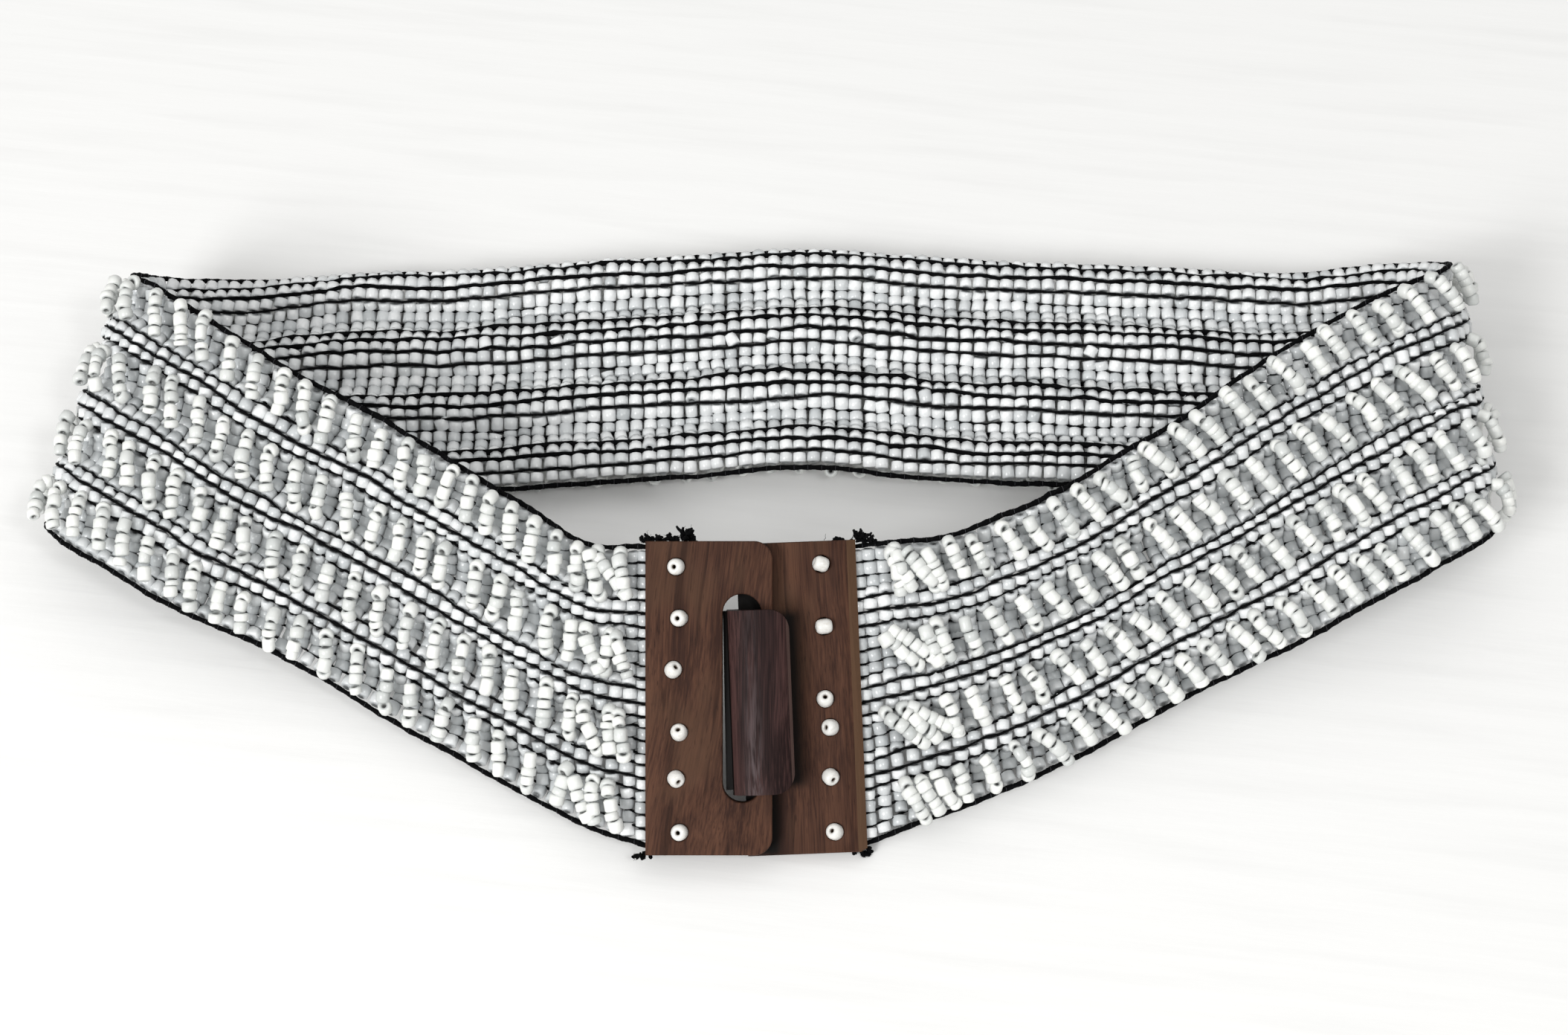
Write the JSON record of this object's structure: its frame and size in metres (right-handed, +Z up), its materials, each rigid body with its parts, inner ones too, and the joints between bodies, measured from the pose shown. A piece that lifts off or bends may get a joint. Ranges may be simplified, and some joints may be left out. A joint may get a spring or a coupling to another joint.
{
  "type": "elastic bead-woven belt",
  "caption": "Wide stretch waist belt in a closed loop: a bead-woven elastic band with rows of raised slanted strands, fastened in front by a wooden hook-and-slot buckle.",
  "frame": {"origin": "bottom centre of the bounding box, on the surface that the belt lies on", "axes": "+X along the buckle side, from the slotted plate to the hook plate; +Y to the back of the loop; +Z up"},
  "size_m": [0.3784, 0.183, 0.0525],
  "materials": {
    "woven_beads": "glossy opaque glass seed beads, bluish white",
    "strand_beads": "glossy opaque glass seed beads, warm white",
    "elastic": "matte black wrapped elastic",
    "plate_wood": "fine-grained dark reddish brown wood, oiled",
    "hook_wood": "dark brown wood, satin, fine grain"
  },
  "bodies": {
    "root": {"woven_band": "woven_beads", "raised_row_1": "strand_beads", "raised_row_2": "strand_beads", "raised_row_3": "strand_beads", "raised_row_4": "strand_beads", "edge_cord_top": "elastic", "edge_cord_bottom": "elastic", "plate_slotted": "plate_wood", "plate_hook": "hook_wood", "cord_ends_left": "elastic", "cord_ends_right": "elastic", "plug_bead_1": "strand_beads", "plug_bead_2": "strand_beads", "plug_bead_3": "strand_beads", "plug_bead_4": "strand_beads", "plug_bead_5": "strand_beads", "plug_bead_6": "strand_beads", "plug_bead_7": "strand_beads", "plug_bead_8": "strand_beads", "plug_bead_9": "strand_beads", "plug_bead_10": "strand_beads", "plug_bead_11": "strand_beads", "plug_bead_12": "strand_beads"}
  },
  "joints": []
}
